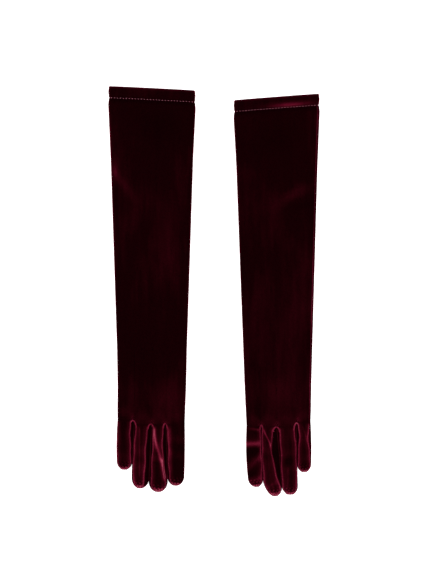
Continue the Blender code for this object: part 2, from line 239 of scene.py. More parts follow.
VELVET = velvet("burgundy_velvet", 0.80, (1.0, 0.07, 0.20), 0.30)
SEAM_VELVET = velvet("seam_velvet", 0.40, (1.0, 0.14, 0.30), 0.55)
print("velvet nodes:", len(VELVET.node_tree.nodes))


# %% [markdown]
# ### Thread and table
# The hem is sewn with a pale polyester thread. Its twist shows as fine light and dark
# bands. The table is a matt board that gives off a little light of its own, so that it
# stays evenly pale up to the edge of the view.

# %% Thread
TWIST_SCALE = 2600.0
THREAD_PINK = (0.27, 0.06, 0.095)


def thread(name, colour):
    """Twisted polyester thread: fine bands across each stitch."""
    mat, nodes, links, shader = new_material(name, 0.5)
    place = nodes.new("ShaderNodeTexCoord").outputs["Object"]
    twist = noise(nodes, links, place, TWIST_SCALE, 1.0)
    dark = tuple(0.55 * c for c in colour)
    bands = ramp(nodes, links, twist, [(0.3, dark), (0.65, colour)])
    links.new(bands, shader.inputs["Base Color"])
    shader.inputs["Sheen Weight"].default_value = 0.2
    return mat


THREAD = thread("pale_pink_thread", THREAD_PINK)
print("thread colour:", THREAD_PINK)

# %% Table
TABLE_SIZE, TABLE_DROP = 8.0, 0.0004
TABLE_GREYS = [(0.3, (0.93, 0.93, 0.93)), (0.7, (0.95, 0.95, 0.95))]
TABLE_GLOW = 0.7

table_material, nodes, links, shader = new_material("pale_table", 0.8)
grain = noise(nodes, links, nodes.new("ShaderNodeTexCoord").outputs["Object"], 3.0, 2.0)
links.new(ramp(nodes, links, grain, TABLE_GREYS), shader.inputs["Base Color"])
shader.inputs["Specular IOR Level"].default_value = 0.1
shader.inputs["Emission Color"].default_value = (1.0, 1.0, 1.0, 1.0)
shader.inputs["Emission Strength"].default_value = TABLE_GLOW

bpy.ops.mesh.primitive_plane_add(size=TABLE_SIZE, location=(0.0, 0.0, -TABLE_DROP))
table = bpy.context.object
table.name = "table"
table.data.materials.append(table_material)
print("materials:", [m.name for m in bpy.data.materials if m.use_nodes])


# %% [markdown]
# ## The glove's plan
# Each glove has its own plan: u runs across it, towards the index finger, and v runs from
# the finger crotches up to the cuff. The CAD's joints and nodes say where that plan lies
# in the frame, how wide the sleeve is at each place and where each finger starts and ends.
# The numbers could be typed in again, but read from the frame they always fit the CAD.

# %% Small helpers
def ease(t, start, end):
    """0 before start, 1 after end, smooth between. end may lie below start."""
    t = np.clip((np.asarray(t, float) - start) / (end - start), 0.0, 1.0)
    return t * t * (3.0 - 2.0 * t)


def hump(t, middle, width):
    """A smooth bump of height 1."""
    return np.exp(-(((np.asarray(t, float) - middle) / width) ** 2))


def node_points(*names):
    """All points of these CAD nodes, in mm."""
    found = []
    for name in names:
        mesh = frame["nodes"][name].data
        points = np.empty(len(mesh.vertices) * 3)
        mesh.vertices.foreach_get("co", points)
        found.append(points.reshape(-1, 3) / MM)
    return np.vstack(found)


def across_at(points, low, high):
    """(middle, half width) of the points whose Y lies between low and high."""
    x = points[(points[:, 1] > low) & (points[:, 1] < high), 0]
    return (x.max() + x.min()) / 2, (x.max() - x.min()) / 2


print("a hump one width off its middle:", round(float(hump(1.0, 0.0, 1.0)), 2))


# %% The two gloves, read from the frame
FINGERS = ("index", "middle", "ring", "little")
ELBOW, WRIST, CUFF = 340.0, 95.0, 430.0
HEM_DEPTH = 15.0
SLANT_FROM, SLANT_OVER = 352.0, 50.0  # the cuff's slant grows in over this length
TOUCH = 0.15  # half of what is left between two fingers laid close
FAR_DOWN = -55.0  # the fingers are closed up as far as here
HEM_PINCH, RIM_ROLL = 0.9, 0.2  # how much narrower the stitch line and the hem's roll are
HEIGHTS = ((0, 8.6), (60, 9.0), (200, 9.4), (364, 10.2), (404, 12.0),
           (CUFF - HEM_DEPTH, 10.9), (CUFF - 8, 12.4), (CUFF, 11.6))


def finger_nodes(side, finger):
    """The names of all CAD nodes of one finger."""
    return [node for node in frame["nodes"] if node.startswith(f"{side}_{finger}_")]


def finger_centre(shape, v):
    """Centre and half width of a finger at v."""
    base, end, base_half, end_half, root, tip = shape
    along = (root - v) / (root - tip)
    return base + (end - base) * along, base_half + (end_half - base_half) * along


class Glove:
    """Where one glove lies, and how wide and high it is at each place along it."""

    def __init__(self, name):
        self.name = name
        self.side = 1.0 if name == "right" else -1.0
        elbow = [c / MM for c in joints[f"{name}_elbow_fold"]["pos_m"]]
        wrist = [c / MM for c in joints[f"{name}_wrist_fold"]["pos_m"]]
        self.long = (elbow[1] - wrist[1]) / (ELBOW - WRIST)
        self.y0 = wrist[1] - WRIST * self.long
        self.lean = (elbow[0] - wrist[0]) / (ELBOW - WRIST)
        self.x0 = elbow[0] - self.lean * ELBOW
        self.elbow_z, self.wrist_z = elbow[2], wrist[2]
        forearm = node_points(f"{name}_forearm_sleeve")
        upper = node_points(f"{name}_upper_sleeve")
        hand = node_points(f"{name}_hand")
        top = upper[:, 1].max()
        cuff_half = across_at(upper, top - 35, top)[1]
        self.widths = [
            (0.0, across_at(hand, self.y0, self.y0 + 9)[1]),
            (WRIST, across_at(forearm, wrist[1] - 2, wrist[1] + 3)[1]),
            (ELBOW, across_at(forearm, elbow[1] - 3, elbow[1] + 2)[1]),
            (CUFF - HEM_DEPTH - 8.0, cuff_half),
            (CUFF - HEM_DEPTH, cuff_half - HEM_PINCH),
            (CUFF - 7.0, cuff_half - RIM_ROLL),
            (CUFF, cuff_half - HEM_PINCH),
        ]
        left_corner = upper[upper[:, 0] < self.x0 - 30][:, 1].max()
        right_corner = upper[upper[:, 0] > self.x0 + 30][:, 1].max()
        self.slant = self.side * (left_corner - right_corner) / (2 * self.widths[-1][1])
        self.fingers = {finger: self.measure_finger(finger) for finger in FINGERS}
        self.close_up_fingers()
        index, little = self.fingers["index"], self.fingers["little"]
        self.widths[0] = (0.0, (index[0] + index[2] - little[0] + little[2]) / 2)

    def measure_finger(self, finger):
        """Centre and half width at the root and near the tip, then root and tip places."""
        kinds = ("stall",) if finger == "index" else ("back", "palm")
        points = node_points(*(f"{self.name}_{finger}_{kind}" for kind in kinds))
        root, tip = points[:, 1].max(), points[:, 1].min()
        points = node_points(*finger_nodes(self.name, finger))
        base, base_half = across_at(points, root - 6, root + 1)
        end, end_half = across_at(points, tip + 9, tip + 16)
        reach = (root - tip - 12) / (root - tip)
        end = base + (end - base) / reach
        to_u = [self.side * (x - self.x0) for x in (base, end)]
        return (*to_u, base_half, end_half, root - self.y0, tip - self.y0)

    def close_up_fingers(self):
        """Moves the edges of neighbours until they touch, as soft fingers laid close do."""
        def edge(shape, v, way):
            centre, half = finger_centre(shape, v)
            return centre + way * half

        edges = {finger: [[edge(self.fingers[finger], v, way) for v in (0.0, FAR_DOWN)]
                          for way in (1, -1)] for finger in FINGERS}
        for first, second in zip(FINGERS, FINGERS[1:]):
            for end in (0, 1):
                shared = (edges[first][1][end] + edges[second][0][end]) / 2
                edges[first][1][end] = shared - TOUCH
                edges[second][0][end] = shared + TOUCH
        for finger, (inner, outer) in edges.items():
            *_, root, tip = self.fingers[finger]
            sides = [[side[0] + (side[1] - side[0]) * v / FAR_DOWN for side in (inner, outer)]
                     for v in (root, tip)]
            centres = [(one + other) / 2 for one, other in sides]
            halves = [(one - other) / 2 for one, other in sides]
            self.fingers[finger] = (*centres, *halves, root, tip)

    def at(self, u, v, z):
        """From the plan to the frame, in mm, as an array of points."""
        u, v, z = np.broadcast_arrays(u, v, z)
        y = v - self.slant * u * ease(v, SLANT_FROM, SLANT_FROM + SLANT_OVER)
        y = np.where(y > 0, y * self.long, y)
        return np.stack([self.x0 + self.lean * v + self.side * u, self.y0 + y, z], axis=-1)

    def half_width(self, v):
        places, halves = zip(*self.widths)
        return np.interp(v, places, halves)

    def height(self, v):
        return np.interp(v, *zip(*HEIGHTS))


gloves = [Glove("right"), Glove("left")]
for glove in gloves:
    print(glove.name, "plan at", round(glove.x0, 1), round(glove.y0, 1),
          "slant", round(glove.slant, 3))
    for finger in FINGERS:
        print("  ", finger, [round(float(c), 1) for c in glove.fingers[finger]])


# %% [markdown]
# ## Cloth as grids of points
# Every cloth piece here is a flattened tube, so one helper turns a grid of points into a
# mesh: rows run along the glove and columns run round it. Points that coincide, as at a
# fingertip, are merged before the faces are turned outwards. A Solidify modifier then
# gives a single sheet its thickness. Sculpting could give the same folds, but a grid from
# formulas can be changed later by changing one number.

# %% Grid to mesh
def make_object(name, mesh, mat):
    obj = bpy.data.objects.new(name, mesh)
    bpy.context.scene.collection.objects.link(obj)
    mesh.materials.append(mat)
    mesh.shade_smooth()
    return obj


def grid_mesh(name, grid, mat, painted_light, close_rows=False):
    """A mesh through grid[row][column], closed round the columns, with painted light and shade for
    each point.
    """
    rows, columns = grid.shape[:2]
    number = np.arange(rows * columns).reshape(rows, columns)
    if close_rows:
        number = np.vstack([number, number[:1]])
    right = np.roll(number, -1, axis=1)
    faces = np.stack([number[:-1], right[:-1], right[1:], number[1:]], axis=-1).reshape(-1, 4)
    mesh = bpy.data.meshes.new(name)
    mesh.from_pydata((grid.reshape(-1, 3) * MM).tolist(), [], faces.tolist())
    # Each point's painted light and shade, which the velvet turns into colour.
    light_value = mesh.attributes.new("painted_light", "FLOAT", "POINT")
    light_value.data.foreach_set("value", np.clip(painted_light, 0.0, 1.0).astype(np.float32).ravel())
    body = bmesh.new()
    body.from_mesh(mesh)
    bmesh.ops.remove_doubles(body, verts=body.verts, dist=1e-6)
    bmesh.ops.recalc_face_normals(body, faces=body.faces)
    body.to_mesh(mesh)
    body.free()
    return make_object(name, mesh, mat)


def plain_mesh(obj, name, mat):
    """The evaluated object as a plain mesh piece, with the original removed."""
    graph = bpy.context.evaluated_depsgraph_get()
    mesh = bpy.data.meshes.new_from_object(obj.evaluated_get(graph))
    bpy.data.objects.remove(obj)
    mesh.materials.clear()
    return make_object(name, mesh, mat)


def thicken(obj, thick):
    """Gives a sheet its thickness inwards and closes its rim."""
    name, mat = obj.name, obj.data.materials[0]
    modifier = obj.modifiers.new("thickness", "SOLIDIFY")
    modifier.thickness = thick * MM
    modifier.offset = -1.0
    obj.name = name + "_sheet"
    piece = plain_mesh(obj, name, mat)
    piece.data.set_sharp_from_angle(angle=math.radians(60))
    return piece


print("helpers ready:", grid_mesh.__name__, plain_mesh.__name__, thicken.__name__)


# %% [markdown]
# ## The sleeve
# On the real glove the sleeve is one cut of stretch velvet, closed by one long seam on the
# little-finger side, and its edge is turned in and stitched to make the hem. So the mesh
# starts at the wrist, runs up the outside, rolls over the cuff's edge and comes back down
# the inside, twice as thick where the hem is turned. Cloth that was packed flat never lies
# quite level. Simulated cloth would sag the same way, but sums of sines give shallow waves
# at once and always the same ones.

# %% Waves of the cloth
def waves(glove, u, v):
    """Soft unevenness of the back, in mm: long lazy folds and a few short ones."""
    s = 1.0 if glove.side > 0 else 1.9
    long_folds = 0.55 * np.sin(v / 41.0 + 0.035 * u * s + s) * np.sin(u / 23.0 + 0.7 * s)
    diagonal = 0.40 * np.sin((v * 0.8 + 1.6 * u) / 17.0 + 2.0 * s) * hump(v, 150 * s, 70)
    crease = 0.45 * hump(v + 0.55 * u, 305 / s + 40, 7.0) * ease(np.abs(u), 50, 20)
    small = 0.16 * np.sin(v / 9.0 + 1.3 * s) * np.cos(u / 7.5 - v / 31.0)
    return long_folds + diagonal + crease + small


wave_heights = waves(gloves[0], 0.0, np.linspace(WRIST, CUFF, 50))
print("waves, mm:", round(float(wave_heights.min()), 2), "to", round(float(wave_heights.max()), 2))

# %% Sleeve section
SLEEVE_POWER = 2.7  # exponent of the flattened oval
SLEEVE_START = 100.0
SLEEVE_HALF_COLUMNS = 90


def round_the_sleeve(half_columns):
    """Shares across and back (1) or palm (0) side of the points round a sleeve."""
    share = np.sin(-np.linspace(-1.0, 1.0, half_columns + 1) * math.pi / 2)
    back = np.concatenate([np.ones(half_columns + 1), np.zeros(half_columns - 1)])
    return np.concatenate([share, share[-2:0:-1]]), back


def sleeve_section(glove, v, inset, share, back):
    """Points round the sleeve at v. share runs across, from 1 (index side) to -1."""
    half, high = glove.half_width(v) - inset, glove.height(v) / 2
    bow = (1.0 - np.abs(share) ** SLEEVE_POWER) ** (1 / SLEEVE_POWER)
    u = half * share
    wave = waves(glove, u, v) * (1.0 - share ** 8) * ease(v, CUFF + 6, CUFF - 40) * back
    return glove.at(u, v, high + (2 * back - 1) * (high - inset) * bow + wave)


print("points round a sleeve:", len(round_the_sleeve(SLEEVE_HALF_COLUMNS)[0]))

# %% [markdown]
# ### Painted sheen on the pile
# Stroked velvet catches the light in lighter and darker patches, and always along a turned
# edge. Both are painted here: each patch is a soft slanted spot of painted sheen, or of
# painted shade where it is darker, added to the level of flat pile.

# %% Painted sheen patches
# Each patch of painted sheen: u, v, how far it spreads across and up the sleeve, its slant,
# its strength, below zero for painted shade.
SHEEN_PATCHES = {
    "right": ((-40.0, 312.0, 15.0, 9.0, -1.2, 0.12), (-47.0, 325.0, 3.5, 13.0, 0.0, 0.15),
              (10.0, 385.0, 40.0, 26.0, -0.3, -0.10), (20.0, 180.0, 16.0, 60.0, 0.0, 0.04),
              (20.0, 30.0, 22.0, 26.0, 0.0, 0.12), (-25.0, 40.0, 14.0, 30.0, 0.2, 0.08)),
    "left": ((-24.0, 304.0, 21.0, 9.0, -0.5, 0.13), (-36.0, 289.0, 14.0, 5.0, -0.3, -0.10),
             (20.0, 220.0, 14.0, 70.0, 0.0, 0.03), (-17.0, 418.0, 27.0, 3.4, 0.0, 0.36),
             (5.0, 45.0, 25.0, 18.0, 0.1, 0.08), (10.0, 370.0, 40.0, 20.0, -0.3, -0.08)),
}
# The flat pile's level, the inside's level, and the painted highlight along the outline.
PILE_FLAT, PILE_INSIDE = 0.33, 0.2
RIM_SHEEN = 0.42


def sleeve_painted_light(glove, u, v, share):
    """Painted light on a sleeve or hand: patches of painted sheen and a painted highlight along the
    turned edges.
    """
    light_value = PILE_FLAT + 0.0 * u
    for cu, cv, long_u, long_v, slant, strength in SHEEN_PATCHES[glove.name]:
        du, dv = u - cu, v - cv
        light_value = light_value + strength * np.exp(-(du / long_u) ** 2 - ((dv - slant * du) / long_v) ** 2)
    rim = ease(np.abs(share), 0.965, 0.998)
    return light_value + RIM_SHEEN * rim


print("patches:", {name: len(sheen_patches) for name, sheen_patches in SHEEN_PATCHES.items()})

# %% [markdown]
# ### The sleeve as one closed skin
# A list of places and insets says how the cloth runs: up the outside, dipping where the
# hem is stitched, over the rim and down the inside.

# %% Sleeve skin
CLOTH, SKIN = 1.1, 0.9  # the sleeve's cloth, and the tighter cloth of hand and fingers
GROOVE = 0.8  # how deep the stitches pull the cloth in
HEM = CUFF - HEM_DEPTH
# A painted highlight along the cuff's rim and a painted shadow just under the stitches:
# place, width, change. The turned hem is a little lighter all over.
HEM_HIGHLIGHT_AND_SHADOW = ((CUFF - 0.4, 1.6, 0.26), (HEM - 3.0, 2.2, -0.14))
HEM_LIGHT = 0.02


def sleeve_path():
    """(v, inset) from the wrist up the outside, over the cuff and down the inside."""
    path = [(v, 0.0) for v in np.linspace(SLEEVE_START, HEM - 4.0, 150)]
    path += [(v, GROOVE * float(hump(v, HEM, 0.9))) for v in np.linspace(HEM - 3.5, HEM + 3.5, 25)]
    path += [(v, 0.0) for v in np.linspace(HEM + 4.0, CUFF - 1.2, 14)]
    for turn in np.linspace(0.0, math.pi, 9)[1:]:
        path.append((CUFF - CLOTH + CLOTH * math.sin(turn), CLOTH * (1 - math.cos(turn))))
    path += [(v, 2 * CLOTH) for v in np.linspace(CUFF - 2.5, HEM - 1.0, 8)]
    path += [(HEM - 1.6, CLOTH + 0.05)]
    return path + [(v, CLOTH) for v in np.linspace(HEM - 3.0, SLEEVE_START, 50)]


def build_sleeve(glove):
    share, back = round_the_sleeve(SLEEVE_HALF_COLUMNS)
    path = sleeve_path()
    grid = np.array([sleeve_section(glove, v, inset, share, back) for v, inset in path])
    painted_light = []
    for v, inset in path:
        light_value = sleeve_painted_light(glove, glove.half_width(v) * share, v, share)
        # Painted highlight on the cuff's rim and painted shadow under the stitches.
        for place, width, change in HEM_HIGHLIGHT_AND_SHADOW:
            light_value = light_value + change * hump(v, place, width)
        light_value = light_value + HEM_LIGHT * ease(v, HEM - 6, HEM + 4)
        painted_light.append(light_value if inset < 1.0 else PILE_INSIDE + 0.0 * light_value)
    sleeve = grid_mesh(f"{glove.name}_sleeve", grid, VELVET, np.array(painted_light), close_rows=True)
    sleeve.data.set_sharp_from_angle(angle=math.radians(70))
    return sleeve


print("rings of points along a sleeve:", len(sleeve_path()))


# %% [markdown]
# ## The hand
# The hand is the same cloth, and at the crotches it parts into four tubes. The columns of
# its grid are already the columns of the four fingers. Near the wrist they lie on the one
# flat oval, and over the last few centimetres they sink, finger by finger, into four ovals
# side by side, so that the valleys between the knuckles deepen into the crotches.

# %% Hand and finger sizes
FINGER_POWER = 2.35  # exponent of a finger's flattened oval
FINGER_COLUMNS = 60
FINGER_HEIGHT = 8.6
KNUCKLES = 9.0  # the valleys between the fingers begin this far above the crotches
LIFT = 4.0
HAND_ROWS = 84
ROW_CROWDING = 1.25  # above 1, rows lie closer together towards the crotches
CROTCHES_FROM = 0.8  # the cloth is gathered beyond this share of the hand's length


def finger_bow(share):
    """Height of a finger's back over its middle, as a share of its half height."""
    return np.maximum(0.0, 1.0 - np.abs(share) ** FINGER_POWER) ** (1 / FINGER_POWER)


def lift(u, v):
    """How far the thumb stall, folded underneath, raises the palm over it."""
    return LIFT * ease(u, -8, 8) * ease(v, 2, 12) * ease(v, 93.5, 83)


def drape(u, v):
    """The same lift as the back shows it: the cloth spreads it out."""
    return LIFT * ease(u, -28, 30) * ease(v, 2, 42) * ease(v, 93.5, 50)


print("raised by the thumb, mm:", round(float(drape(20.0, 45.0)), 1))

# %% [markdown]
# ### Seams and folds of the fingers
# A fourchette is a narrow gusset between two fingers. It is sewn in with the allowance
# inside, so from above each seam is a soft ridge with a valley beyond it. A few larger
# folds run across or along single fingers, where the empty stalls twist. Ridges and folds
# carry painted highlights, and the valleys painted shade.

# %% Places of seams and folds
# Where the seams between back and fourchette run on each finger, as shares of its half
# width at the root, at 0.3 and 0.65 of its length, and at the tip. None: no fourchette.
FINGER_SEAMS = {
    "right": {"index": (None, (-0.84, -0.74, -0.80, -0.70)),
              "middle": ((0.60, 0.46, 0.60, 0.80), (-0.72, -0.68, -0.74, -0.70)),
              "ring": ((0.58, 0.42, 0.46, 0.40), (-0.74, -0.82, -0.84, -0.78)),
              "little": ((0.55, 0.54, 0.72, 0.76), (-0.93, -0.92, -0.90, -0.84))},
    "left": {"index": (None, (-0.86, -0.84, -0.86, -0.80)),
             "middle": ((0.74, 0.93, 0.90, 0.80), (-0.52, -0.06, -0.36, -0.84)),
             "ring": ((0.70, 0.72, 0.84, 0.88), (-0.74, -0.86, -0.86, -0.80)),
             "little": ((0.72, 0.55, 0.80, 0.76), (-0.78, -0.46, -0.72, -0.84))},
}
# Folds along a finger's back: the share at its start and end, the two places along the
# finger, the half width as a share, height in mm and the painted highlight on it.
FINGER_TWISTS = {
    ("right", "middle"): ((-0.62, 0.72, -3.0, -70.0, 0.23, 0.7, 0.42),),
    ("right", "ring"): ((-0.34, -0.12, -2.0, -66.0, 0.10, 0.3, 0.16),),
    ("right", "index"): ((-0.62, -0.55, -4.0, -60.0, 0.20, 0.3, 0.12),),
    ("left", "middle"): ((0.66, -0.04, -1.0, -26.0, 0.11, 0.6, 0.34),
                         (0.35, 0.10, -30.0, -84.0, 0.16, 0.3, 0.08)),
    ("left", "ring"): ((0.15, 0.32, -52.0, -86.0, 0.15, 0.4, 0.14),),
    ("left", "little"): ((0.15, -0.40, 2.0, -20.0, 0.12, 0.3, 0.12),),
}
# Folds across a finger's back: place, how much it slants, half width, height, painted
# highlight (below zero, painted shade).
FINGER_FOLDS = {
    ("left", "index"): ((-3.0, -1.6, 1.7, 0.8, 0.48), (-22.5, 0.5, 3.8, 0.7, 0.36),
                        (-46.0, 8.0, 5.0, 0.4, 0.18), (-33.0, 2.0, 5.0, -0.4, -0.10),
                        (-68.0, 3.0, 4.0, 0.5, 0.20)),
    ("right", "middle"): ((-44.0, 4.0, 1.8, 0.4, 0.05), (-50.0, 3.0, 1.5, -0.3, -0.06)),
    ("left", "middle"): ((-74.0, 6.0, 3.0, 0.3, 0.10),),
}
print("folds along and across:", sum(map(len, FINGER_TWISTS.values())),
      sum(map(len, FINGER_FOLDS.values())))

# %% Seam ridges
# A seam ridge's height, its painted highlight and its half width.
RIDGE_HEIGHT, RIDGE_HIGHLIGHT, RIDGE_HALF = 0.50, 0.36, 0.105
VALLEY = 1.3  # how far a fourchette sinks


def seam_share(glove, finger, which, along):
    """Where a finger's inner (0) or outer (1) seam runs, along from 0 (root) to 1 (tip)."""
    places = FINGER_SEAMS[glove.name][finger][which]
    if places is None:
        return None
    waver = 0.030 * math.sin(17.0 * along + 2.0 * which + len(finger)) * min(1.0, 6.0 * along)
    spread = 0.08 * min(1.0, along / 0.08)
    smooth = np.mean([np.interp(along + shift, (0.0, 0.3, 0.65, 0.9), places)
                      for shift in (-spread, 0.0, spread)])
    return float(smooth + waver)


def finger_relief(glove, finger, share, along):
    """(height in mm, painted light) that seams and fourchettes add across a finger's back: painted
    highlights on the ridges, painted shade in the fourchettes.
    """
    height, painted_light = 0.0 * share, 0.0 * share
    for which, way in ((0, 1.0), (1, -1.0)):
        seam = seam_share(glove, finger, which, along)
        if seam is None:
            continue
        gusseted = not (finger == "little" and which == 1)
        beyond = ease(way * (share - seam), 0.05, 0.20) if gusseted else 0.0
        outline = ease(np.abs(share), 0.90, 0.99)
        ridge = hump(share, seam, RIDGE_HALF)
        height = height + RIDGE_HEIGHT * ridge - VALLEY * beyond * (1 - outline)
        # Painted highlight on the ridge and just inside it, painted shade in the fourchette, painted
        # sheen where it meets the outline.
        painted_light = painted_light + RIDGE_HIGHLIGHT * ridge + beyond * (0.22 * outline - 0.12)
        painted_light = painted_light + 0.12 * hump(share, seam - way * 0.22, 0.20)
    return height, painted_light


ridge_height, ridge_light = finger_relief(gloves[0], "ring", np.array([-0.74]), 0.0)
print("a seam ridge, mm:", round(float(ridge_height[0]), 2), "painted_light:", round(float(ridge_light[0]), 2))

# %% Folds across and along a finger
def finger_creases(glove, finger, share, v):
    """(height in mm, painted light) of the folds across and along a finger."""
    order = FINGERS.index(finger)
    ripple = np.sin(v / 3.7 + 2.1 * order + 0.8 * share) * hump(v, -30 - 7 * order, 16)
    # Ripples and folds carry painted highlights on their crests.
    height, painted_light = 0.16 * ripple, 0.05 * ripple
    key = (glove.name, finger)
    for from_share, to_share, start, end, wide, tall, light in FINGER_TWISTS.get(key, ()):
        line = from_share + (to_share - from_share) * ease(v, start, end)
        there = ease(v, start + 3, start - 4) * ease(v, end - 5, end + 4)
        twist = hump(share, line, wide) * there
        height, painted_light = height + tall * twist, painted_light + light * twist
    for place, slant, wide, tall, light in FINGER_FOLDS.get(key, ()):
        fold = hump(v + slant * share, place, wide) * (1 - 0.6 * hump(share, -0.9, 0.25))
        height, painted_light = height + tall * fold, painted_light + light * fold
    return height, painted_light


print("fingers with folds:", sorted({"_".join(key) for key in [*FINGER_TWISTS, *FINGER_FOLDS]}))

# %% Hand skin
def light_at_crotches(light_value, glove, u, v, root):
    """Paints uneven highlights where the cloth is gathered into the crotches."""
    for finger in FINGERS[:3]:
        crotch = glove.fingers[finger][0] - glove.fingers[finger][2]
        around = np.hypot(u - crotch, 0.8 * (v - root - 1.0))
        uneven = 1 + 0.6 * np.sin(2.2 * u + 1.7 * v)
        light_value = light_value + 0.20 * hump(around, 0.0, 5.0) * uneven
    return light_value


def build_hand(glove):
    """The hand's skin, and the grid of its back for the seams to follow."""
    share = np.tile(np.cos(np.linspace(0.0, math.pi, FINGER_COLUMNS)), len(FINGERS))
    shapes = np.repeat([glove.fingers[finger] for finger in FINGERS], FINGER_COLUMNS, axis=0)
    base, half, root = shapes[:, 0], shapes[:, 2], shapes[:, 4]
    finger_u, bow_end = base + half * share, finger_bow(share)
    wide = (finger_u - finger_u.min()) / (finger_u.max() - finger_u.min()) * 2 - 1
    bow_start = (1.0 - np.abs(wide) ** SLEEVE_POWER) ** (1 / SLEEVE_POWER)
    middle = (finger_u.max() + finger_u.min()) / 2
    grid, painted_light = [], []
    for s in np.linspace(0.0, 1.0, HAND_ROWS):
        s = 1.0 - (1.0 - s) ** ROW_CROWDING
        v = SLEEVE_START + (root - SLEEVE_START) * s
        near = ease(v - root, KNUCKLES, 0.0) ** 5
        shape = ease(v - root, KNUCKLES * 1.5, 0.0)
        u = middle * ease(v, 60.0, 0.0) + glove.half_width(v) * wide
        u = u * (1 - shape) + finger_u * shape
        high = glove.height(v) / 2
        bow = bow_start * (1 - near) + bow_end * near
        raised = drape(u, v)
        under = raised + np.maximum(lift(u, v) - raised, 0.0) * ease(u, 41.5, 38.0)
        wave = waves(glove, u, v) * (1.0 - wide ** 8) * ease(v - root, 4.0, 30.0)
        upper = glove.at(u, v, high + high * bow + raised + wave)
        lower = glove.at(u, v, high - high * bow + raised * (1 - bow) + under * bow)
        grid.append(np.concatenate([upper, lower[-2:0:-1]]))
        # The sleeve's painted sheen fades out near the crotches, and a faint painted highlight lies
        # on each knuckle.
        light_value = PILE_FLAT + (sleeve_painted_light(glove, u, v, wide) - PILE_FLAT) * ease(v - root, 0.0, 14.0)
        light_value = light_value + 0.07 * hump(v - root, 9.0, 7.0) * bow_end ** 3
        if s > CROTCHES_FROM:
            light_value = light_at_crotches(light_value, glove, u, v, root)
        painted_light.append(np.concatenate([light_value, light_value[-2:0:-1]]))
    hand = grid_mesh(f"{glove.name}_hand_skin", np.array(grid), VELVET, np.array(painted_light))
    back = np.array(grid)[:, :len(share)]
    return thicken(hand, SKIN), back, wide


print("points in a hand's grid:", HAND_ROWS, "x", len(FINGERS) * (2 * FINGER_COLUMNS) - 2)


# %% [markdown]
# ## The fingers
# Each finger is a narrow back and palm joined by a fourchette down either side. On the
# index finger's outer side and the little finger's outer side there is none. The mesh is
# one closed tube that starts exactly where the hand's valley left it and narrows to a
# rounded tip. The seams stand up as soft ridges, and the fourchettes sink between them.

# %% Finger outline
TIP_ROWS = 24
TIP_ROUND = 1.12  # length of the rounded tip, in half widths
TIP_POWER = 3.2  # the higher, the longer a tip keeps its height
CROWN = 1.1  # how much an empty finger rises in the middle


def tip_steps(power):
    """(how far along, how wide, how high) down a rounded tip, closing to nothing."""
    turns = np.linspace(0.0, math.pi / 2, TIP_ROWS + 1)[1:]
    steps = [(math.sin(turn), math.cos(turn)) for turn in turns[:-1]] + [(1.0, 0.0)]
    return [(s, wide, max(0.0, 1 - s ** power) ** 0.5) for s, wide in steps]


def finger_rows(glove, finger):
    """(v, width scale, height scale) down a finger to its tip."""
    *_, end_half, root, tip = glove.fingers[finger]
    round_length = TIP_ROUND * end_half
    rows = [(v, 1.0, 1.0) for v in np.linspace(root, tip + round_length, 64)]
    for s, wide, tall in tip_steps(TIP_POWER):
        rows.append((tip + round_length * (1 - s), wide, tall))
    return rows


# How far the outline swells half way down the outermost fingers, and how far one edge of
# a fingertip is drawn in towards the other, in mm.
BULGE = {("right", "index"): 0.6, ("right", "little"): -1.1,
         ("left", "index"): 1.8, ("left", "little"): -0.9}
TIP_SKEW = {("left", "middle"): 4.0, ("right", "ring"): -1.0}


def finger_place(glove, finger, v):
    """Centre and half width of a finger at v, as the soft skin lies."""
    shape = glove.fingers[finger]
    centre, half = finger_centre(shape, v)
    root, tip = shape[4:]
    along = min(1.0, (root - v) / (root - tip))
    swell = BULGE.get((glove.name, finger), 0.0) * math.sin(math.pi * along)
    skew = TIP_SKEW.get((glove.name, finger), 0.0) * float(ease(v, tip + 22.0, tip + 2.0))
    return centre + swell / 2 - skew / 2, half + abs(swell) / 2 - abs(skew) / 2


print("rings along a finger:", len(finger_rows(gloves[0], "middle")))

# %% A finger's back
# The painted sheen on a fingertip's rim. The edges of a finger show a share of that, and
# the outermost edges of the hand more, growing from the root.
TIP_RIM_SHEEN = 0.52
EDGE_SHARE, OUTERMOST_SHARE = 0.25, (0.35, 0.70)


def finger_level(tall):
    """Middle height and half height of a finger, where tall is 1 until the tip."""
    return FINGER_HEIGHT / 2 - 0.9 * (1 - tall), FINGER_HEIGHT / 2 * tall


def tip_sheen_pattern(finger, share, v):
    """An uneven pattern for the painted highlights round a fingertip."""
    turn = np.arccos(share)
    tip_sheen = np.sin(12.0 * turn + 5.0 * len(finger)) * math.cos(1.5 * v)
    return tip_sheen + np.sin(8.0 * turn - 1.1 * v) * np.cos(5.0 * turn + 0.7 * v)


def edge_light(glove, finger, share, v):
    """How much of the rim's light shows along a finger's edges."""
    light = EDGE_SHARE * ease(np.abs(share), 0.86, 0.98)
    if finger in ("index", "little"):
        outer = share if finger == "index" else -share
        low, high = OUTERMOST_SHARE
        root = glove.fingers[finger][4]
        glow = low + (high - low) * ease(v, root, root - 20)
        light = np.maximum(light, glow * ease(outer, 0.87, 0.99))
    return light


